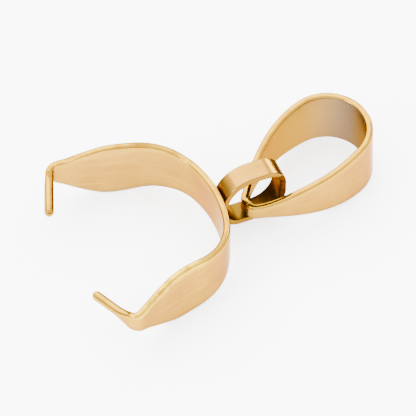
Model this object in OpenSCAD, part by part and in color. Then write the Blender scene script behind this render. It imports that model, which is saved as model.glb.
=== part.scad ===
// A pinch bail finding: a sprung claw with two prongs that pinch into a stone's
// drill hole, a small ring soldered to the claw's crown, and a teardrop loop that
// hangs in the ring and takes the chain. It lies on its side on z = 0. The claw opens
// towards -X, the loop lies towards +X, and both bands stand on their edges.

/* [Bands] */
// Thickness of the sheet that the claw and the loop are bent from
sheet = 0.5; // [0.4:0.05:0.6]

/* [Claw] */
// Length of one wing along the strip, from the middle of the crown to the prong's bend
wing_length = 12.5; // [11.5:0.1:13.5]
// Width of the strip across the middle of the crown
crown_width = 3.1; // [2.6:0.1:3.6]
// Width of a wing at its widest
wing_width = 4.55; // [4.3:0.05:5]
// Width of the strip at the end of the prong's bend
root_width = 1.3; // [1.1:0.1:1.6]

/* [Prongs] */
// Radius of a prong's bend, along the middle of the sheet
bend_radius = 0.5; // [0.45:0.05:0.8]
// Angle that a prong is bent through
bend_angle = 88; // [80:1:94]
// Length over which the bent end narrows down to the prong
taper_length = 1.3; // [1:0.1:1.6]
// Length of a prong's straight round stretch, from the taper to its round end
prong_length = 1.8; // [1.5:0.1:2.4]
// Diameter of a prong
prong_diameter = 0.65; // [0.55:0.05:0.75]

/* [Ring] */
// Reach of the ring out of the crown
ring_reach = 4.6; // [4.3:0.1:5.2]
// Height of the ring
ring_height = 4.15; // [3.9:0.05:4.4]
// Width of the ring's band
ring_width = 1.55; // [1.3:0.05:1.7]
// Wall of the ring
ring_wall = 0.45; // [0.35:0.05:0.5]
// Outer radius of the ring's lower corner at the crown
ring_heel = 1.35; // [1:0.05:1.4]
// Outer radius of the ring's upper corner at the crown
ring_shoulder = 2.3; // [1.8:0.05:2.5]
// Outer radius of the ring's lower corner away from the crown
ring_chin = 2; // [1.4:0.05:2.2]
// Outer radius of the ring's upper corner away from the crown
ring_brow = 1.4; // [1:0.05:1.6]
// Height of the ring's lower side above what the claw lies on
ring_foot = 0.68; // [0.5:0.02:0.8]
// Depth of the solder seat, by which the ring sinks into the crown
solder_depth = 0.12; // [0.08:0.02:0.2]

/* [Loop] */
// Length of one leg along the strip, from the middle of the neck to the round end
leg_length = 8.7; // [8:0.05:9.4]
// Width of the strip at the neck
neck_width = 1.14; // [1:0.02:1.2]
// Width of the strip round the loop's round end
loop_width = 4.4; // [4:0.1:4.6]
// Angle of the loop to the claw's own axis, seen from above
loop_yaw = 20.5; // [15:0.5:25]
// Angle by which the loop leans over about its own long axis
loop_roll = 1.5; // [1:0.5:4]
// Place of the neck across the ring's hole, from the claw's middle plane
neck_offset = -0.7; // [-0.8:0.02:-0.6]
// Share of the ring's reach at which the neck stands
neck_place = 0.4; // [0.37:0.01:0.46]
// Clearance between the leg that passes through the ring and the ring's floor
neck_gap = 0.1; // [0.08:0.01:0.2]

/* [Hidden] */

// Columns of the two tables of bends: share of the named length, and turn in degrees
SHARE = 0;
TURN = 1;
// The wing: the crown, the shoulder, the round of the side, and a leaf that flares out
WING_BENDS = [
    [0.19, 15],
    [0.185, 27],
    [0.20, 36],
    [0.425, -10]
];
// The leg of the loop: the all but flat neck, its sharp corner, the straighter leg, and
// the swell of the side
LEG_BENDS = [
    [0.03, 6],
    [0.05, 50],
    [0.49, 16.4],
    [0.43, 24.9]
];
// Rows of that table that make the neck
NECK_ROWS = 2;

// Columns of the two tables of widths: share of the band's reach, and share of the
// way from the narrow width to the broad one
AT = 0;
RISE = 1;
// The wing from the crown to its widest place, as shares of the wing's reach
WING_WIDTHS = [
    [-0.1, 0],
    [0.06, 0.16],
    [0.16, 0.42],
    [0.31, 0.70],
    [0.45, 0.92],
    [0.56, 1]
];
// The wing from its widest place to the prong's bend and past it
TIP_WIDTHS = [
    [0.56, 1],
    [0.66, 0.95],
    [0.76, 0.77],
    [0.86, 0.53],
    [0.94, 0.31],
    [1, 0.185],
    [1.04, 0.09],
    [1.08, 0.01],
    [1.12, 0],
    [1.3, 0]
];
// The loop from the neck to the round end, as shares of the loop's reach
LOOP_WIDTHS = [
    [-0.1, 0],
    [0.05, 0.02],
    [0.13, 0.13],
    [0.29, 0.43],
    [0.42, 0.64],
    [0.53, 0.78],
    [0.66, 0.92],
    [0.78, 0.99],
    [1.1, 1]
];

// Smoothness of the solids' curves and of the small round prongs
$fn = 96;
PRONG_FN = 32;
// Angle that one band of a prong's dome spans, and where its flat tip begins
DOME_STEP = 15;
DOME_END = 75;
// Points that a width's curve has between two rows of its table
CURVE_STEPS = 6;
// Length by which one arc of a strip starts inside the arc before it
LAP = 0.005;

// A pen is [x, y, heading]. It starts at the origin and heads along +Y
function radius_of(row, length) = row[SHARE] * length * 180 / (PI * row[TURN]);
function lap_angle(r) = LAP * 180 / (PI * abs(r));
function advance(pen, r, turn) = [
    pen[0] + r * (cos(pen[2] - 90 + turn) - cos(pen[2] - 90)),
    pen[1] + r * (sin(pen[2] - 90 + turn) - sin(pen[2] - 90)),
    pen[2] + turn
];
function pen_after(bends, length, count, pen = [0, 0, 90]) =
    count == 0
        ? pen
        : let (done = pen_after(bends, length, count - 1, pen))
          advance(done, radius_of(bends[count - 1], length), bends[count - 1][TURN]);

// Slope of a width table at a row, for a smooth curve through all the rows
function slope(table, i) =
    let (a = max(i - 1, 0), b = min(i + 1, len(table) - 1))
    (table[b][RISE] - table[a][RISE]) / (table[b][AT] - table[a][AT]);
// Height of the curve between rows i and i + 1, where t runs from 0 to 1
function curve(table, i, t) =
    let (step = table[i + 1][AT] - table[i][AT])
    (2 * t ^ 3 - 3 * t ^ 2 + 1) * table[i][RISE]
    + (t ^ 3 - 2 * t ^ 2 + t) * step * slope(table, i)
    + (3 * t ^ 2 - 2 * t ^ 3) * table[i + 1][RISE]
    + (t ^ 3 - t ^ 2) * step * slope(table, i + 1);
// Edge of a band as [distance, half width], through one table
function edge(table, reach, narrow, broad) = [
    for (i = [0 : len(table) - 2], j = [0 : CURVE_STEPS - 1])
        let (t = j / CURVE_STEPS)
        [
            reach * (table[i][AT] + t * (table[i + 1][AT] - table[i][AT])),
            (narrow + (broad - narrow) * curve(table, i, t)) / 2
        ]
];
function last_point(table, reach, narrow, broad) = [
    reach * table[len(table) - 1][AT],
    (narrow + (broad - narrow) * table[len(table) - 1][RISE]) / 2
];
function mirrored(points) = [
    for (i = [len(points) - 1 : -1 : 0]) [points[i][0], -points[i][1]]
];

// The claw's strip
WING_END = pen_after(WING_BENDS, wing_length, len(WING_BENDS));
WING_REACH = -WING_END[0];
CLAW_EDGE = concat(
    edge(WING_WIDTHS, WING_REACH, crown_width, wing_width),
    edge(TIP_WIDTHS, WING_REACH, root_width, wing_width),
    [last_point(TIP_WIDTHS, WING_REACH, root_width, wing_width)]
);
CLAW_MIDDLE = wing_width / 2;

// The loop's strip: its round end is one arc that closes on the loop's own axis, where
// the two halves head along -Y and lap into each other
LEG_END = pen_after(LEG_BENDS, leg_length, len(LEG_BENDS));
CLOSED_HEADING = 270;
END_TURN = CLOSED_HEADING - LEG_END[2];
END_RADIUS = LEG_END[1] / sin(END_TURN);
LOOP_REACH = -LEG_END[0] + END_RADIUS * (1 - cos(END_TURN));
LOOP_EDGE = concat(
    edge(LOOP_WIDTHS, LOOP_REACH, neck_width, loop_width),
    [last_point(LOOP_WIDTHS, LOOP_REACH, neck_width, loop_width)]
);

// Where the farther leg leaves the ring's hole, in the loop's own frame
NECK_PEN = pen_after(LEG_BENDS, leg_length, NECK_ROWS);
LEG_ANGLE = 180 - NECK_PEN[2];
HOLE_RUN = (
    ring_width / 2 - neck_offset
    + NECK_PEN[0] * sin(loop_yaw)
    - NECK_PEN[1] * cos(loop_yaw)
) / sin(LEG_ANGLE + loop_yaw);
HOLE_EXIT = [
    -NECK_PEN[0] + HOLE_RUN * cos(LEG_ANGLE),
    NECK_PEN[1] + HOLE_RUN * sin(LEG_ANGLE)
];
HALF_IN_HOLE = max([for (p = LOOP_EDGE) if (p[0] < HOLE_EXIT[0] + sheet / 2) p[1]]);

// The loop's neck: the leg that passes through the ring clears its floor
NECK = [
    sheet / 2 + ring_reach * neck_place,
    neck_offset,
    ring_foot + ring_wall + neck_gap + HALF_IN_HOLE - HOLE_EXIT[1] * sin(loop_roll)
];
// How far the round end rises: the nearer leg's lower edge touches what the claw lies on
function drop(half) = (END_RADIUS + sheet / 2) * sin(loop_roll) + half * cos(loop_roll);
function tilt_at(x, half) = atan2(drop(half), x) - asin(NECK[2] / norm([x, drop(half)]));
LOOP_TILT = max([for (p = LOOP_EDGE) if (p[0] > LOOP_REACH / 3) tilt_at(p[0], p[1])]);

// The prong's tip and the loop's far end give the middle of the whole length
BEND_END = advance(WING_END, bend_radius, bend_angle);
PRONG_RUN = taper_length + prong_length;
// The bent end runs on all but straight while it narrows
TAPER_TURN = 1;
TAPER_RADIUS = taper_length * 180 / (PI * TAPER_TURN);
// Half width at which the taper ends inside the round prong
TAPER_END = 0.2 * prong_diameter;
BACK = BEND_END[0] + PRONG_RUN * cos(BEND_END[2]) - prong_diameter / 2;
LOOP_CENTRE = LOOP_REACH - END_RADIUS;
FRONT = NECK[0]
    + LOOP_CENTRE * cos(loop_yaw) * cos(LOOP_TILT)
    + END_RADIUS
    + sheet / 2
    + loop_width / 2 * sin(LOOP_TILT) * cos(loop_yaw);
CROWN_X = -(BACK + FRONT) / 2;

module at_pen(pen) {
    translate([pen[0], pen[1], 0]) rotate(pen[2] - 90) children();
}

// One arc of a strip that stands on its edge. It starts at the origin along +Y
module arc_piece(r, turn, width) {
    translate([-r, 0, 0])
        rotate(r > 0 ? -lap_angle(r) : 180 + turn)
            rotate_extrude(angle = abs(turn) + lap_angle(r))
                translate([abs(r) - sheet / 2, -width / 2])
                    square([sheet, width]);
}

// The arcs of a table, each starting where the one before it ends
module bent_strip(bends, length, width) {
    for (i = [0 : len(bends) - 1])
        at_pen(pen_after(bends, length, i))
            arc_piece(radius_of(bends[i], length), bends[i][TURN], width);
}

// All that lies within an edge outline on both sides of the middle plane
module side_outline(edge_points, across) {
    rotate([90, 0, 0])
        linear_extrude(across, center = true)
            polygon(concat(edge_points, mirrored(edge_points)));
}

module both_sides() {
    children();
    mirror([0, 1, 0]) children();
}

// What the taper takes off one edge of the bent end, in the frame at the end of the bend
module taper_cut() {
    rotate([0, 90, 0])
        linear_extrude(3 * sheet, center = true)
            polygon([
                [root_width / 2, 0],
                [root_width, 0],
                [root_width, taper_length + sheet],
                [TAPER_END, taper_length + sheet],
                [TAPER_END, taper_length]
            ]);
}

// One wing of the strip with its bent root, before its edges are cut
module wing_blank() {
    blank_width = wing_width + sheet;
    bent_strip(WING_BENDS, wing_length, blank_width);
    at_pen(WING_END) arc_piece(bend_radius, bend_angle, blank_width);
    at_pen(BEND_END) arc_piece(TAPER_RADIUS, TAPER_TURN, blank_width);
}

module claw_strip() {
    difference() {
        intersection() {
            both_sides() wing_blank();
            mirror([1, 0, 0]) side_outline(CLAW_EDGE, 3 * wing_length);
        }
        both_sides()
            at_pen(BEND_END)
                for (edge_side = [0, 1]) mirror([0, 0, edge_side]) taper_cut();
    }
}

// Round pin along +Y. Its ends are domes with a small flat tip, centred on 0 and length
module domed_pin(length, r) {
    tip = r * sin(DOME_END);
    rotate([-90, 0, 0])
        rotate_extrude($fn = PRONG_FN)
            polygon(concat(
                [[0, -tip]],
                [for (a = [-DOME_END : DOME_STEP : 0]) [r * cos(a), r * sin(a)]],
                [for (a = [0 : DOME_STEP : DOME_END]) [r * cos(a), length + r * sin(a)]],
                [[0, length + tip]]
            ));
}

module prong() {
    at_pen(BEND_END)
        translate([0, taper_length / 2, 0])
            domed_pin(prong_length + taper_length / 2, prong_diameter / 2);
}

// Block with a radius for each corner, in the order of the outline: lower left, lower
// right, upper right, upper left
module rounded_block(length, height, radii) {
    polygon([
        [radii[0], 0],
        [length - radii[1], 0],
        [length, radii[1]],
        [length, height - radii[2]],
        [length - radii[2], height],
        [radii[3], height],
        [0, height - radii[3]],
        [0, radii[0]]
    ]);
    translate([radii[0], radii[0]]) circle(radii[0]);
    translate([length - radii[1], radii[1]]) circle(radii[1]);
    translate([length - radii[2], height - radii[2]]) circle(radii[2]);
    translate([radii[3], height - radii[3]]) circle(radii[3]);
}

// Closed band round a hole that runs along Y, with its flat back in the crown's face
module ring_band() {
    outer_radii = [ring_heel, ring_chin, ring_brow, ring_shoulder];
    outer_length = ring_reach + solder_depth;
    translate([sheet / 2 - solder_depth, 0, ring_foot - CLAW_MIDDLE])
        rotate([90, 0, 0])
            linear_extrude(ring_width, center = true)
                difference() {
                    rounded_block(outer_length, ring_height, outer_radii);
                    translate([ring_wall, ring_wall])
                        rounded_block(
                            outer_length - 2 * ring_wall,
                            ring_height - 2 * ring_wall,
                            [for (r = outer_radii) r - ring_wall]
                        );
                }
}

module claw() {
    color([0.90, 0.75, 0.57])
        translate([CROWN_X, 0, CLAW_MIDDLE]) {
            claw_strip();
            both_sides() prong();
            ring_band();
        }
}

module teardrop() {
    intersection() {
        both_sides()
            mirror([1, 0, 0]) {
                bent_strip(LEG_BENDS, leg_length, loop_width + sheet);
                at_pen(LEG_END)
                    arc_piece(
                        END_RADIUS,
                        END_TURN + lap_angle(END_RADIUS),
                        loop_width + sheet
                    );
            }
        side_outline(LOOP_EDGE, 3 * END_RADIUS);
    }
}

module bail_loop() {
    color([0.89, 0.74, 0.55])
        translate([CROWN_X, 0, 0])
            translate(NECK)
                rotate([loop_roll, -LOOP_TILT, loop_yaw])
                    teardrop();
}

claw();
bail_loop();
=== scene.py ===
import math

import bpy
import numpy as np
from mathutils import Matrix, Vector


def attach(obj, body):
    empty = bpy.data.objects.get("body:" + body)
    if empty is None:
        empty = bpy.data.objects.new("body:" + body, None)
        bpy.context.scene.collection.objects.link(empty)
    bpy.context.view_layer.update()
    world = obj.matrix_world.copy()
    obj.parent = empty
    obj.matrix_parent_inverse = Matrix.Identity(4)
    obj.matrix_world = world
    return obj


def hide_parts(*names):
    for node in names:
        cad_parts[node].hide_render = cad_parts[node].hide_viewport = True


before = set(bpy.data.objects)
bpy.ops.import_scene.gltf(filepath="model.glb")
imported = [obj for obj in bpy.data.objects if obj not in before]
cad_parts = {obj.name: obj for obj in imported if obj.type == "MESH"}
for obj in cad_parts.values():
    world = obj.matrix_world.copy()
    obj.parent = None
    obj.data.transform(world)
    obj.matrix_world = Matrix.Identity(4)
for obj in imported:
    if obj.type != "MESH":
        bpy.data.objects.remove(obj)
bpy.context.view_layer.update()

MM = 0.001

# The named sizes of the model, in millimetres and degrees
SHEET = 0.5
WING_LENGTH, CROWN_WIDTH, WING_WIDTH, ROOT_WIDTH = 12.5, 3.1, 4.55, 1.3
BEND_RADIUS, BEND_ANGLE = 0.5, 88
TAPER_LENGTH, TAPER_TURN = 1.3, 1
PRONG_LENGTH, PRONG_DIAMETER = 1.8, 0.65
RING_REACH, RING_HEIGHT, RING_WIDTH, RING_WALL = 4.6, 4.15, 1.55, 0.45
RING_HEEL, RING_SHOULDER, RING_CHIN, RING_BROW = 1.35, 2.3, 2.0, 1.4
RING_FOOT, SOLDER_DEPTH = 0.68, 0.12
LEG_LENGTH, NECK_WIDTH, LOOP_WIDTH = 8.7, 1.14, 4.4
LOOP_YAW, LOOP_ROLL, LOOP_TILT = 20.5, 1.5, 2.286
CROWN_X = -0.666268
NECK = (2.09, -0.70, 1.9437)
CLAW_MIDDLE = WING_WIDTH / 2
BEND_LENGTH = math.radians(BEND_ANGLE) * BEND_RADIUS
HALF_RING_WALL = RING_WALL / 2

# Rounding of the strips' long edges, which the solids leave sharp
RIM_ROUND, RING_ROUND = 0.19, 0.09

# Lengths over which one bend eases into the next
TIP_EASE, PIN_EASE = 0.3, 0.2
RING_EASE, RING_BACK_EASE = 0.4, 0.5
LOOP_END_EASE = 1.0

# From the flat strip to the round prong: how fast it narrows, how far past the wing it
# starts to thicken, how far before the taper its edges round, and how round they get
TAPER_POWER, THICKEN_DELAY, ROUND_LEAD, PIN_ROUND = 1.6, 0.3, 0.25, 0.95
# The prong's round tip ends at this angle, no thinner than the root of this share
DOME_TURN, DOME_LEAST = 84, 0.008

# Cross-sections along each stretch, and points along each side of a cross-section
WING_STEPS, BEND_STEPS, PIN_STEPS, TIP_STEPS = 150, 36, 26, 9
RING_STEPS, LOOP_STEPS = 240, 190
STRIP_POINTS, RING_POINTS, EDGE_POINTS, ROUND_POINTS = 10, 6, 2, 6

# Lines start along +Y and quarter circles turn by this
QUARTER = 90

# Columns: share of the named length, turn in degrees, length over which the bend eases in
WING_BENDS = [
    (0.19, 15, 0.0),
    (0.185, 27, 1.2),
    (0.20, 36, 1.2),
    (0.425, -10, 1.6),
]
LEG_BENDS = [
    (0.03, 6, 0.0),
    (0.05, 50, 0.2),
    (0.49, 16.4, 0.4),
    (0.43, 24.9, 1.6),
]
# Columns: share of the band's reach, share of the way from its narrow to its broad width
WING_WIDTHS = [(-0.1, 0), (0.06, 0.16), (0.16, 0.42), (0.31, 0.70), (0.45, 0.92), (0.56, 1)]
TIP_WIDTHS = [
    (0.56, 1), (0.66, 0.95), (0.76, 0.77), (0.86, 0.53), (0.94, 0.31),
    (1, 0.185), (1.04, 0.09), (1.08, 0.01), (1.12, 0), (1.3, 0),
]
LOOP_WIDTHS = [
    (-0.1, 0), (0.05, 0.02), (0.13, 0.13), (0.29, 0.43), (0.42, 0.64),
    (0.53, 0.78), (0.66, 0.92), (0.78, 0.99), (1.1, 1),
]


def smooth(t):
    t = np.clip(t, 0, 1)
    return t * t * (3 - 2 * t)


def table_curve(table, x):
    """Smooth curve through a table's rows."""
    at = np.array([r[0] for r in table], float)
    rise = np.array([r[1] for r in table], float)
    lean = np.empty(len(at))
    for i in range(len(at)):
        a, b = max(i - 1, 0), min(i + 1, len(at) - 1)
        lean[i] = (rise[b] - rise[a]) / (at[b] - at[a])
    x = np.clip(x, at[0], at[-1])
    i = np.clip(np.searchsorted(at, x, side="right") - 1, 0, len(at) - 2)
    step = at[i + 1] - at[i]
    t = (x - at[i]) / step
    return (
        (2 * t**3 - 3 * t**2 + 1) * rise[i]
        + (t**3 - 2 * t**2 + t) * step * lean[i]
        + (3 * t**2 - 2 * t**3) * rise[i + 1]
        + (t**3 - t**2) * step * lean[i + 1]
    )


def bent_line(rows, step=0.01):
    """Line from the origin along +Y through arcs (length, turn, ease), each easing into
    the next. Gives the lengths along it, its points and its headings."""
    total = sum(r[0] for r in rows)
    n = int(math.ceil(total / step))
    s = np.linspace(0, total, n + 1)
    bend = np.zeros(n + 1)
    start, before = 0.0, 0.0
    for length, turn, ease in rows:
        here = math.radians(turn) / length
        if start == 0.0 or ease == 0.0:
            share = (s >= start).astype(float)
        else:
            share = smooth((s - start) / ease + 0.5)
        bend += (here - before) * share
        start, before = start + length, here
    ds = total / n
    mid = (bend[1:] + bend[:-1]) / 2 * ds
    angle = np.concatenate([[0], np.cumsum(mid)]) + math.radians(QUARTER)
    a = (angle[1:] + angle[:-1]) / 2
    x = np.concatenate([[0], np.cumsum(np.cos(a) * ds)])
    y = np.concatenate([[0], np.cumsum(np.sin(a) * ds)])
    return s, np.stack([x, y], 1), angle


def section(half_wide, half_thick, corner, flat=STRIP_POINTS):
    """Rounded rectangle as (thickness, width) points, the same count for any size, and
    for each point how much it faces along the width."""
    points, rim = [], []
    cw, ct = half_wide - corner, half_thick - corner
    quarters = [(ct, cw, 0), (-ct, cw, 90), (-ct, -cw, 180), (ct, -cw, 270)]
    for q, (t0, w0, angle) in enumerate(quarters):
        for k in range(ROUND_POINTS + 1):
            a = math.radians(angle + QUARTER * k / ROUND_POINTS)
            points.append((t0 + corner * math.cos(a), w0 + corner * math.sin(a)))
            rim.append(abs(math.sin(a)))
        t1, w1, _ = quarters[(q + 1) % len(quarters)]
        a = math.radians(angle + QUARTER)
        first = (t0 + corner * math.cos(a), w0 + corner * math.sin(a))
        last = (t1 + corner * math.cos(a), w1 + corner * math.sin(a))
        count = EDGE_POINTS if q % 2 == 0 else flat
        for k in range(1, count):
            points.append(tuple(first[i] + (last[i] - first[i]) * k / count for i in (0, 1)))
            rim.append(abs(math.sin(a)))
    return np.array(points), np.array(rim)


def swept(name, centres, normals, width_way, sections, along, closed, body, matrix=None):
    """Band of quads through cross-sections set along a line."""
    rings, rims = zip(*sections)
    count = len(rings[0])
    verts = np.concatenate([
        c + r[:, :1] * n + r[:, 1:] * width_way for c, n, r in zip(centres, normals, rings)
    ])
    faces = []
    total = len(rings)
    for i in range(total if closed else total - 1):
        j = (i + 1) % total
        for k in range(count):
            m = (k + 1) % count
            faces.append((i * count + k, i * count + m, j * count + m, j * count + k))
    if not closed:
        faces.append(tuple(range(count - 1, -1, -1)))
        faces.append(tuple((total - 1) * count + k for k in range(count)))
    if matrix is not None:
        verts = verts @ matrix[0].T + matrix[1]
    mesh = bpy.data.meshes.new(name)
    mesh.from_pydata((verts * MM).tolist(), [], faces)
    mesh.validate()
    mesh.polygons.foreach_set("use_smooth", [True] * len(mesh.polygons))
    # What the materials read: the place along and across the band in millimetres, the
    # side of the sheet from -1 to 1, the way to the nearest long edge, and the rim
    least_thick = 0.01
    labels = {
        "along": np.repeat(np.array(along, float), count),
        "across": np.concatenate([r[:, 1] for r in rings]),
        "depth": np.concatenate([r[:, 0] / max(r[:, 0].max(), least_thick) for r in rings]),
        "edge": np.concatenate([r[:, 1].max() - np.abs(r[:, 1]) for r in rings]),
        "rim": np.concatenate(rims),
    }
    for label, values in labels.items():
        layer = mesh.attributes.new(label, "FLOAT", "POINT")
        layer.data.foreach_set("value", values.astype(np.float32))
    mesh.update()
    piece = bpy.data.objects.new(name, mesh)
    bpy.context.scene.collection.objects.link(piece)
    volume = 0.0
    for polygon in mesh.polygons:
        a, b, c = (Vector(verts[v]) for v in polygon.vertices[:3])
        volume += a.dot(b.cross(c))
    if volume < 0:
        mesh.flip_normals()
    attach(piece, body)
    return piece


def rotation(x, y, z):
    """Turn about X, then Y, then Z, in degrees."""
    a, b, c = (math.radians(v) for v in (x, y, z))
    rx = np.array([[1, 0, 0], [0, math.cos(a), -math.sin(a)], [0, math.sin(a), math.cos(a)]])
    ry = np.array([[math.cos(b), 0, math.sin(b)], [0, 1, 0], [-math.sin(b), 0, math.cos(b)]])
    rz = np.array([[math.cos(c), -math.sin(c), 0], [math.sin(c), math.cos(c), 0], [0, 0, 1]])
    return rz @ ry @ rx


def claw_half():
    """Lengths, centres, headings, half sizes and edge roundings of the claw's band, from
    the middle of the crown to one prong's tip: flat up to the bend, round at the prong."""
    rows = [(share * WING_LENGTH, turn, ease) for share, turn, ease in WING_BENDS]
    rows.append((BEND_LENGTH, BEND_ANGLE, TIP_EASE))
    rows.append((TAPER_LENGTH, TAPER_TURN, TIP_EASE))
    rows.append((PRONG_LENGTH + PRONG_DIAMETER / 2, 0, PIN_EASE))
    s, points, angle = bent_line(rows)
    radius = PRONG_DIAMETER / 2
    bend_end = WING_LENGTH + BEND_LENGTH
    pin = bend_end + TAPER_LENGTH
    dome = s[-1] - radius
    stops = np.concatenate([
        np.linspace(0, WING_LENGTH, WING_STEPS, endpoint=False),
        np.linspace(WING_LENGTH, pin, BEND_STEPS, endpoint=False),
        np.linspace(pin, dome, PIN_STEPS, endpoint=False),
        dome + radius * np.sin(np.radians(np.linspace(0, DOME_TURN, TIP_STEPS))),
    ])
    x = np.interp(stops, s, points[:, 0])
    y = np.interp(stops, s, points[:, 1])
    head = np.interp(stops, s, angle)
    share = x / np.interp(WING_LENGTH, s, points[:, 0])
    half = np.where(
        share < WING_WIDTHS[-1][0],
        CROWN_WIDTH + (WING_WIDTH - CROWN_WIDTH) * table_curve(WING_WIDTHS, share),
        ROOT_WIDTH + (WING_WIDTH - ROOT_WIDTH) * table_curve(TIP_WIDTHS, share),
    ) / 2
    narrowing = 1 - np.clip(1 - (stops - bend_end) / TAPER_LENGTH, 0, 1) ** TAPER_POWER
    past = np.clip((stops - dome) / radius, 0, 1)
    shrink = np.sqrt(np.maximum(1 - past**2, DOME_LEAST))
    half_wide = (half + (radius - half) * narrowing) * shrink
    thicken_from = WING_LENGTH + THICKEN_DELAY
    rounding = smooth((stops - thicken_from) / (pin - thicken_from))
    half_thick = (SHEET / 2 + (radius - SHEET / 2) * rounding) * shrink
    turning = smooth((stops - bend_end + ROUND_LEAD) / (TAPER_LENGTH + ROUND_LEAD))
    corner = RIM_ROUND + (PIN_ROUND * radius - RIM_ROUND) * turning
    corner = np.minimum(corner, PIN_ROUND * np.minimum(half_thick, half_wide))
    return stops, np.stack([x, y], 1), head, half_wide, half_thick, corner


def make_claw_band():
    s, points, head, wide, thick, corner = claw_half()
    order = np.concatenate([np.arange(len(s) - 1, 0, -1), np.arange(len(s))])
    side = np.concatenate([-np.ones(len(s) - 1), np.ones(len(s))])
    x = points[order, 0] + CROWN_X
    y = points[order, 1] * side
    centres = np.stack([x, y, np.full(len(x), CLAW_MIDDLE)], 1)
    # Outward normal of the band: away from the inside of the claw
    normals = np.stack([np.sin(head[order]), -np.cos(head[order]) * side, np.zeros(len(x))], 1)
    sections = [section(wide[i], thick[i], corner[i]) for i in order]
    up_way = np.array([0, 0, 1.0])
    return swept("claw_band", centres, normals, up_way, sections, s[order] * side, False, "claw")


def make_ring():
    deep = RING_REACH + SOLDER_DEPTH
    front_flat = RING_HEIGHT - RING_CHIN - RING_BROW

    def corner(radius):
        return math.radians(QUARTER) * (radius - HALF_RING_WALL), QUARTER, RING_EASE

    rows = [
        (front_flat / 2, 0, 0.0),
        corner(RING_BROW),
        (deep - RING_BROW - RING_SHOULDER, 0, RING_BACK_EASE),
        corner(RING_SHOULDER),
        (RING_HEIGHT - RING_SHOULDER - RING_HEEL, 0, RING_BACK_EASE),
        corner(RING_HEEL),
        (deep - RING_HEEL - RING_CHIN, 0, RING_EASE),
        corner(RING_CHIN),
        (front_flat / 2, 0, RING_EASE),
    ]
    s, points, angle = bent_line(rows)
    # Closes the small difference that easing leaves
    points = points - np.outer(s / s[-1], points[-1] - points[0])
    stops = np.linspace(0, s[-1], RING_STEPS, endpoint=False)
    px = np.interp(stops, s, points[:, 0])
    pz = np.interp(stops, s, points[:, 1])
    head = np.interp(stops, s, angle)
    front = CROWN_X + SHEET / 2 + RING_REACH - HALF_RING_WALL
    middle = RING_FOOT + RING_CHIN + front_flat / 2
    centres = np.stack([front + px, np.zeros(len(px)), middle + pz], 1)
    normals = np.stack([np.sin(head), np.zeros(len(px)), -np.cos(head)], 1)
    sections = [section(RING_WIDTH / 2, HALF_RING_WALL, RING_ROUND, RING_POINTS)] * RING_STEPS
    side_way = np.array([0, 1.0, 0])
    return swept("ring", centres, normals, side_way, sections, stops, True, "claw")


def make_loop():
    half_rows = [(share * LEG_LENGTH, turn, ease) for share, turn, ease in LEG_BENDS]
    end_turn = 180 - sum(r[1] for r in half_rows)
    _, leg, _ = bent_line([(length, turn, 0.0) for length, turn, _ in half_rows])
    end_radius = leg[-1, 1] / math.sin(math.radians(end_turn))
    half_rows.append((end_radius * math.radians(end_turn), end_turn, LOOP_END_EASE))
    s, points, angle = bent_line(half_rows)
    # The eased half closes on the loop's own axis and keeps the sharp bends' reach
    points[:, 1] -= points[-1, 1] * smooth(s / s[-1])
    full_reach = -leg[-1, 0] + end_radius * (1 - math.cos(math.radians(end_turn)))
    points[:, 0] *= full_reach / -points[-1, 0]
    stops = np.linspace(0, s[-1], LOOP_STEPS)
    x = -np.interp(stops, s, points[:, 0])
    y = np.interp(stops, s, points[:, 1])
    head = np.interp(stops, s, angle)
    share = table_curve(LOOP_WIDTHS, x / x.max())
    half = (NECK_WIDTH + (LOOP_WIDTH - NECK_WIDTH) * share) / 2
    order = np.concatenate([np.arange(LOOP_STEPS), np.arange(LOOP_STEPS - 2, 0, -1)])
    side = np.concatenate([np.ones(LOOP_STEPS), -np.ones(LOOP_STEPS - 2)])
    level = np.zeros(len(order))
    centres = np.stack([x[order], y[order] * side, level], 1)
    normals = np.stack([-np.sin(head[order]), -np.cos(head[order]) * side, level], 1)
    sections = [section(half[i], SHEET / 2, RIM_ROUND) for i in order]
    # Measured from the round end, so that the streaks break only inside the ring
    along = (stops[order] - stops[-1]) * side
    turn = rotation(LOOP_ROLL, -LOOP_TILT, LOOP_YAW)
    place = (turn, np.array(NECK) + np.array([CROWN_X, 0, 0]))
    up_way = np.array([0, 0, 1.0])
    return swept("loop_band", centres, normals, up_way, sections, along, True, "bail_loop", place)


claw_band = make_claw_band()
ring = make_ring()
loop_band = make_loop()
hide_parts("claw")
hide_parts("bail_loop")

# Colours of the broad faces, with paler and deeper streaks
FACE_GOLD = (0.350, 0.183, 0.013, 1)
PALE_GOLD = (0.420, 0.245, 0.022, 1)
DEEP_GOLD = (0.270, 0.118, 0.006, 1)
RING_GOLD = (0.180, 0.089, 0.001, 1)
# Colours of the long edges and rims: the rim's own colour, rim patches partly of wear and partly
# painted highlight, painted shade on the lower rim, a painted yellow sheen on the upper edge, painted
# highlight spots near the near wing's tip, painted shade on the lower edge
RIM_GOLD = (0.225, 0.103, 0.001, 1)
RIM_WEAR_AND_HIGHLIGHT = (0.360, 0.215, 0.005, 1)
LOWER_RIM_SHADE = (0.150, 0.068, 0.006, 1)
EDGE_SHEEN_YELLOW = (0.390, 0.225, 0.003, 1)
TIP_HIGHLIGHT_YELLOW = (0.520, 0.325, 0.001, 1)
LOWER_EDGE_SHADE = (0.190, 0.112, 0.034, 1)
# Colours of the inner faces: the ring's inside as painted shade, the loop's inside and the painted
# shade it turns to at the round end; and the painted brown shade of deep corners
RING_INSIDE_SHADE = (0.060, 0.031, 0.002, 1)
LOOP_INSIDE = (0.365, 0.200, 0.033, 1)
END_SHADE_GOLD = (0.116, 0.087, 0.072, 1)
CREASE_SHADE_BROWN = (0.070, 0.030, 0.004, 1)
EDGE_TINT = (0.62, 0.42, 0.15, 1)

# Stretch of the band coordinates, per millimetre along and across the strip
ROLLED_LINES = (0.16, 5.0)
BRUSHED_LINES = (0.7, 22.0)
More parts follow.
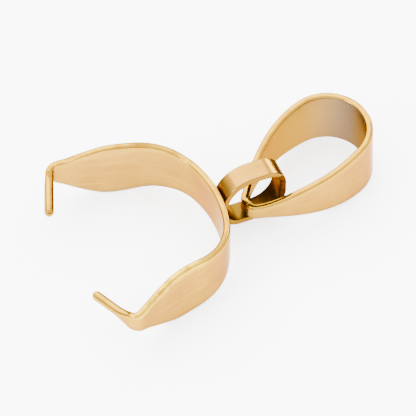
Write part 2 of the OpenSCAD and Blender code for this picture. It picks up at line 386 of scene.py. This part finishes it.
# Noises. Columns: scale, detail, roughness, distortion. The first three follow the strip
NOISES = {
    "rolling": (1.0, 3.0, 0.55, 0.0),
    "brushing": (1.0, 2.0, 0.5, 0.0),
    "edge_patches": (2.2, 3.0, 0.6, 0.0),
    "patches": (420.0, 3.0, 0.55, 0.3),
    "waves": (260.0, 1.0, 0.4, 0.0),
    "rim_wear_and_sheen": (900.0, 3.0, 0.6, 0.0),
    "spots": (1500.0, 2.0, 0.5, 0.0),
    "pits": (1900.0, 2.0, 0.5, 0.0),
    "grain": (6500.0, 3.0, 0.6, 0.0),
}
# Masks. Columns: the values at which what they are made from gives 0 and 1
MASKS = {
    "even": (0.35, 0.68),
    "pale_streaks": (0.52, 0.72),
    "deep_streaks": (0.46, 0.30),
    "rim": (0.20, 0.85),
    "rim_wear_and_sheen": (0.30, 0.62),
    "edge_patches": (0.38, 0.60),
    "spots": (0.40, 0.56),
    "upper_half": (-0.2, 0.2),
    "upper_edge": (0.65, 0.22),
    "lower_edge": (0.60, 0.12),
    "before_bend": (-13.4, -12.3),
    "inner_face": (-0.7, -0.95),
    "rough_lines": (0.3, 0.7),
    "rough_pits": (0.62, 0.74),
    "flat_ground": (0.78, 0.66),
}

# How much of a tone is mixed in. Pairs: least, and more where the mask is full
EVEN_SHARE, PALE_SHARE, DEEP_SHARE = 0.40, 0.55, 0.35
YELLOW_SHARE, TIP_SHARE, LOWER_SHARE = (0.2, 0.5), (0.10, 0.85), (0.30, 0.35)
RIM_WEAR_AND_HIGHLIGHT_SHARE, RIM_TIP, RIM_LOWER = 0.45, 0.6, 0.8
INSIDE_SHARE, CREASE_SHADE_SHARE = 0.9, 0.85
# Reach in millimetres over which a corner counts as deep and gets painted shade
CREASE_REACH = 1.1
# Clear lacquer over the plating: on the faces, less on the rims, and its roughness
COAT_FACE, COAT_ON_RIM, COAT_ROUGH = 0.14, -0.10, 0.16
# Roughness of the faces, and what each thing adds to it
ROUGH_FACE = 0.17
ROUGH_LINES, ROUGH_PATCHES, ROUGH_PITS = 0.06, 0.05, 0.10
ROUGH_RIM, ROUGH_CREASE, ROUGH_INSIDE = -0.07, 0.12, 0.10
# Depth of the relief in millimetres
WAVE_DEPTH, ROLLED_DEPTH, BRUSHED_DEPTH, GRAIN_DEPTH, PIT_DEPTH = 0.030, 0.010, 0.0016, 0.0008, 0.0008


class Graph:
    """Small helper that adds nodes and links them."""

    def __init__(self, material):
        material.use_nodes = True
        self.tree = material.node_tree
        self.shader = self.tree.nodes["Principled BSDF"]

    def add(self, kind, inputs=(), **settings):
        node = self.tree.nodes.new(kind)
        for key, value in settings.items():
            setattr(node, key, value)
        for key, value in dict(inputs).items():
            self.feed(node.inputs[key], value)
        return node

    def feed(self, socket, value):
        if isinstance(value, bpy.types.NodeSocket):
            self.tree.links.new(value, socket)
        else:
            socket.default_value = value

    def attribute(self, label):
        return self.add("ShaderNodeAttribute", attribute_name=label).outputs["Fac"]

    def math(self, operation, *values):
        node = self.add("ShaderNodeMath", operation=operation)
        for socket, value in zip(node.inputs, values):
            self.feed(socket, value)
        return node.outputs[0]

    def times(self, first, second):
        return self.math("MULTIPLY", first, second)

    def plus(self, value, factor, ground):
        return self.math("MULTIPLY_ADD", value, factor, ground)

    def opposite(self, mask):
        return self.math("SUBTRACT", 1.0, mask)

    def lines(self, along, across, stretch, seed):
        """Band coordinates, long along the strip and short across it."""
        place = {0: self.times(along, stretch[0]), 1: self.times(across, stretch[1]), 2: float(seed)}
        return self.add("ShaderNodeCombineXYZ", place).outputs[0]

    def noise(self, vector, label):
        scale, detail, roughness, distortion = NOISES[label]
        inputs = {
            "Vector": vector, "Scale": scale, "Detail": detail,
            "Roughness": roughness, "Distortion": distortion,
        }
        return self.add("ShaderNodeTexNoise", inputs).outputs["Fac"]

    def remap(self, value, low, high):
        inputs = {"Value": value, "From Min": low, "From Max": high}
        node = self.add("ShaderNodeMapRange", inputs, interpolation_type="SMOOTHSTEP")
        return node.outputs[0]

    def mask(self, value, label):
        return self.remap(value, *MASKS[label])

    def blend(self, share, first, second):
        node = self.add("ShaderNodeMix", data_type="RGBA")
        self.feed(node.inputs[0], share)
        self.feed(node.inputs[6], first)
        self.feed(node.inputs[7], second)
        return node.outputs[2]


def gold(name, seed, face=FACE_GOLD, streak=1.0, edge_sheen_and_shade=1.0, crease=(0.55, 0.05),
         tip_highlight=None, inside=None, inside_shade=None, inside_range=None):
    """Polished plating. streak scales the streaks, and the argument after it the painted yellow
    sheen on the upper edges and the painted shade on the lower ones. crease is where the
    painted brown shade of deep corners begins and is full, and the tip range where along the
    strip the upper edge and rim get painted highlight spots. inside is the colour of the inner
    face, painted shade on the ring, which may turn to a painted shade colour over inside_range."""
    material = bpy.data.materials.new(name)
    g = Graph(material)
    place = g.add("ShaderNodeTexCoord").outputs["Object"]
    shift = (0.01 * seed, 0.02 * seed, 0.03 * seed)
    shifted = g.add("ShaderNodeVectorMath", {0: place, 1: shift}, operation="ADD").outputs[0]
    along, across, edge = g.attribute("along"), g.attribute("across"), g.attribute("edge")
    rolled_lines = g.lines(along, across, ROLLED_LINES, seed)
    rolling = g.noise(rolled_lines, "rolling")
    brushing = g.noise(g.lines(along, across, BRUSHED_LINES, seed), "brushing")
    patches = g.noise(shifted, "patches")
    pits = g.noise(shifted, "pits")
    rim = g.mask(g.attribute("rim"), "rim")

    # Slow patches and rolled streaks on the faces
    tone = g.blend(g.mask(patches, "even"), DEEP_GOLD, face)
    tone = g.blend(EVEN_SHARE, tone, face)
    pale_streaks = g.times(g.mask(rolling, "pale_streaks"), PALE_SHARE * streak)
    tone = g.blend(pale_streaks, tone, PALE_GOLD)
    deep_streaks = g.times(g.mask(rolling, "deep_streaks"), DEEP_SHARE * streak)
    tone = g.blend(deep_streaks, tone, DEEP_GOLD)

    # Painted light along the long edges: a patchy yellow sheen on the upper edge, painted shade on
    # the lower edge and rim
    upper = g.mask(across, "upper_half")
    edge_patches = g.mask(g.noise(rolled_lines, "edge_patches"), "edge_patches")
    upper_edge = g.times(g.mask(edge, "upper_edge"), upper)
    least, more = YELLOW_SHARE
    yellow = g.plus(edge_patches, more * edge_sheen_and_shade, least * edge_sheen_and_shade)
    tone = g.blend(g.times(upper_edge, yellow), tone, EDGE_SHEEN_YELLOW)
    # Brighter patches on the rims, partly wear and partly painted highlight
    rim_wear_and_sheen = g.mask(g.noise(shifted, "rim_wear_and_sheen"), "rim_wear_and_sheen")
    rim_tone = g.blend(g.times(rim_wear_and_sheen, RIM_WEAR_AND_HIGHLIGHT_SHARE), RIM_GOLD, RIM_WEAR_AND_HIGHLIGHT)
    # Painted highlight spots on the upper edge and rim towards the wing's tip
    if tip_highlight is not None:
        near_tip = g.times(g.remap(along, *tip_highlight), g.mask(along, "before_bend"))
        least, more = TIP_SHARE
        tip = g.times(near_tip, g.plus(g.mask(g.noise(shifted, "spots"), "spots"), more, least))
        tone = g.blend(g.times(upper_edge, tip), tone, TIP_HIGHLIGHT_YELLOW)
        rim_tone = g.blend(g.times(tip, RIM_TIP), rim_tone, TIP_HIGHLIGHT_YELLOW)
    # Painted shade on the lower long edge and the lower rim (on the ring, the side towards -Y)
    lower_edge = g.times(g.mask(edge, "lower_edge"), g.opposite(upper))
    least, more = LOWER_SHARE
    grey = g.plus(edge_patches, more * edge_sheen_and_shade, least * edge_sheen_and_shade)
    tone = g.blend(g.times(lower_edge, grey), tone, LOWER_EDGE_SHADE)
    rim_tone = g.blend(g.times(g.opposite(upper), RIM_LOWER), rim_tone, LOWER_RIM_SHADE)
    tone = g.blend(rim, tone, rim_tone)

    # Lacquer and roughness
    coat = g.plus(rim, COAT_ON_RIM, COAT_FACE)
    rough = g.plus(g.mask(brushing, "rough_lines"), ROUGH_LINES, ROUGH_FACE)
    rough = g.plus(g.mask(patches, "rough_lines"), ROUGH_PATCHES, rough)
    rough = g.plus(g.mask(pits, "rough_pits"), ROUGH_PITS, rough)
    rough = g.plus(rim, ROUGH_RIM, rough)
    # The inner face takes the inside colour, which on the ring is painted shade
    if inside is not None:
        inner = g.mask(g.attribute("depth"), "inner_face")
        inner_tone = inside
        # Towards the loop's round end the inner face turns to painted shade
        if inside_shade is not None:
            from_end = g.remap(g.math("ABSOLUTE", along), *inside_range)
            inner_tone = g.blend(from_end, inside, inside_shade)
        tone = g.blend(g.times(inner, INSIDE_SHARE), tone, inner_tone)
        coat = g.times(coat, g.opposite(inner))
        rough = g.plus(inner, ROUGH_INSIDE, rough)

    # Painted brown shade in the deep corners, where the occlusion is strong
    occlusion = g.add("ShaderNodeAmbientOcclusion", {"Distance": CREASE_REACH * MM}, samples=8)
    deep = g.remap(occlusion.outputs["AO"], *crease)
    tone = g.blend(g.times(deep, CREASE_SHADE_SHARE), tone, CREASE_SHADE_BROWN)
    rough = g.plus(deep, ROUGH_CREASE, rough)

    # Relief: slow waves left by bending and polishing, rolled lines, brushing and grain
    bump = None
    for height, relief in (
        (g.noise(shifted, "waves"), WAVE_DEPTH),
        (rolling, ROLLED_DEPTH * streak),
        (brushing, BRUSHED_DEPTH * streak),
        (g.noise(shifted, "grain"), GRAIN_DEPTH),
        (g.mask(pits, "flat_ground"), PIT_DEPTH),
    ):
        node = g.add("ShaderNodeBump", {"Height": height, "Strength": 1.0, "Distance": relief * MM})
        if bump is not None:
            g.feed(node.inputs["Normal"], bump)
        bump = node.outputs[0]

    for socket, value in (
        ("Base Color", tone),
        ("Metallic", 1.0),
        ("Specular Tint", EDGE_TINT),
        ("Coat Weight", coat),
        ("Coat Roughness", COAT_ROUGH),
        ("Roughness", rough),
        ("Normal", bump),
    ):
        g.feed(g.shader.inputs[socket], value)
    return material


# Places along the strips are in millimetres from the crown or from the loop's round end
# The near wing gets painted highlight spots on its upper edge and rim, from 5.5 mm from the crown,
# full from 8 mm, up to the bend
claw_gold = gold("claw_gold", 1, tip_highlight=(-5.5, -8.0))
# The ring's inside is painted shade, and its corners get painted shade at less occlusion than the
# claw's
ring_gold = gold(
    "ring_gold", 2, RING_GOLD, streak=0.7, edge_sheen_and_shade=0.2, crease=(0.80, 0.30), inside=RING_INSIDE_SHADE
)
# The loop's inner face turns to painted shade from 4.8 mm before the middle of its round end
loop_gold = gold(
    "loop_gold", 3, inside=LOOP_INSIDE, inside_shade=END_SHADE_GOLD, inside_range=(4.8, 0.2)
)
claw_band.data.materials.append(claw_gold)
ring.data.materials.append(ring_gold)
loop_band.data.materials.append(loop_gold)

# White floor with a slight glow of its own, as in a bright studio
FLOOR_METRES = 6
FLOOR_LOOK = {
    "Base Color": (0.88, 0.875, 0.88, 1),
    "Roughness": 0.9,
    "Emission Color": (1, 1, 1, 1),
    "Emission Strength": 2.6,
}
bpy.ops.mesh.primitive_plane_add(size=FLOOR_METRES, location=(0, 0, 0))
floor = bpy.context.object
floor.name = "floor"
floor_material = bpy.data.materials.new("floor_white")
floor_material.use_nodes = True
floor_shader = floor_material.node_tree.nodes["Principled BSDF"]
for socket, value in FLOOR_LOOK.items():
    floor_shader.inputs[socket].default_value = value
floor.data.materials.append(floor_material)

# A white tent that is dimmer towards the horizon, so that round edges get a darker line.
# The ramp runs between two heights of the view's direction
TENT, HORIZON_SHARE = 6.2, 0.10
RAMP_LOW, RAMP_HIGH = 0.02, 0.60
world = bpy.data.worlds.new("studio")
bpy.context.scene.world = world
world.use_nodes = True
tent = world.node_tree
height = tent.nodes.new("ShaderNodeSeparateXYZ")
ramp = tent.nodes.new("ShaderNodeMapRange")
ramp.interpolation_type = "SMOOTHSTEP"
ramp.inputs["From Min"].default_value = RAMP_LOW
ramp.inputs["From Max"].default_value = RAMP_HIGH
ramp.inputs["To Min"].default_value = HORIZON_SHARE
tent.links.new(tent.nodes.new("ShaderNodeTexCoord").outputs["Generated"], height.inputs[0])
tent.links.new(height.outputs["Z"], ramp.inputs["Value"])
tent.links.new(ramp.outputs[0], tent.nodes["Background"].inputs["Color"])
tent.nodes["Background"].inputs["Strength"].default_value = TENT

# Round soft lights. Columns: direction, distance and size in metres, brightness
LIGHTS = {
    "key": ((-0.10, 0.60, 0.75), 1.0, 1.2, 9.0),
    "side": ((-0.85, -0.15, 0.60), 1.1, 0.34, 45.0),
    "right": ((0.75, 0.55, 0.36), 1.1, 0.36, 34.0),
}
for name, (direction, distance, size, radiance) in LIGHTS.items():
    light = bpy.data.lights.new(name, "AREA")
    light.shape = "DISK"
    light.size = size
    # A disk's power for its brightness: pi times its area
    light.energy = radiance * math.pi * math.pi * (size / 2) ** 2
    lamp = bpy.data.objects.new(name, light)
    bpy.context.scene.collection.objects.link(lamp)
    toward = Vector(direction).normalized()
    lamp.location = toward * distance
    lamp.rotation_mode = "QUATERNION"
    lamp.rotation_quaternion = toward.to_track_quat("Z", "Y")

# Camera at the photograph's angle, far away with a long lens. The aim is the place in
# the picture's plane, in millimetres to the right and up, that the frame is centred on
AZIMUTH, ELEVATION, ROLL, DISTANCE = -24.25, 49.12, 0.66, 1.0
FRAME_WIDTH = 28.04
AIM_RIGHT, AIM_UP = -1.145, 1.213
SENSOR_WIDTH = 36
NEAREST, FARTHEST = 0.1, 20
az, el, roll = (math.radians(v) for v in (AZIMUTH, ELEVATION, ROLL))
back = Vector((math.sin(az) * math.cos(el), -math.cos(az) * math.cos(el), math.sin(el)))
right = Vector((math.cos(az), math.sin(az), 0))
up = back.cross(right)
aim = (right * AIM_RIGHT + up * AIM_UP) * MM
screen_right = right * math.cos(roll) + up * math.sin(roll)
screen_up = up * math.cos(roll) - right * math.sin(roll)
camera_data = bpy.data.cameras.new("camera")
camera_data.sensor_width = SENSOR_WIDTH
camera_data.lens = SENSOR_WIDTH * DISTANCE / (FRAME_WIDTH * MM)
camera_data.clip_start, camera_data.clip_end = NEAREST, FARTHEST
camera = bpy.data.objects.new("camera", camera_data)
bpy.context.scene.collection.objects.link(camera)
camera.rotation_mode = "QUATERNION"
camera.rotation_quaternion = Matrix((screen_right, screen_up, back)).transposed().to_quaternion()
camera.location = aim + back * DISTANCE
bpy.context.scene.camera = camera
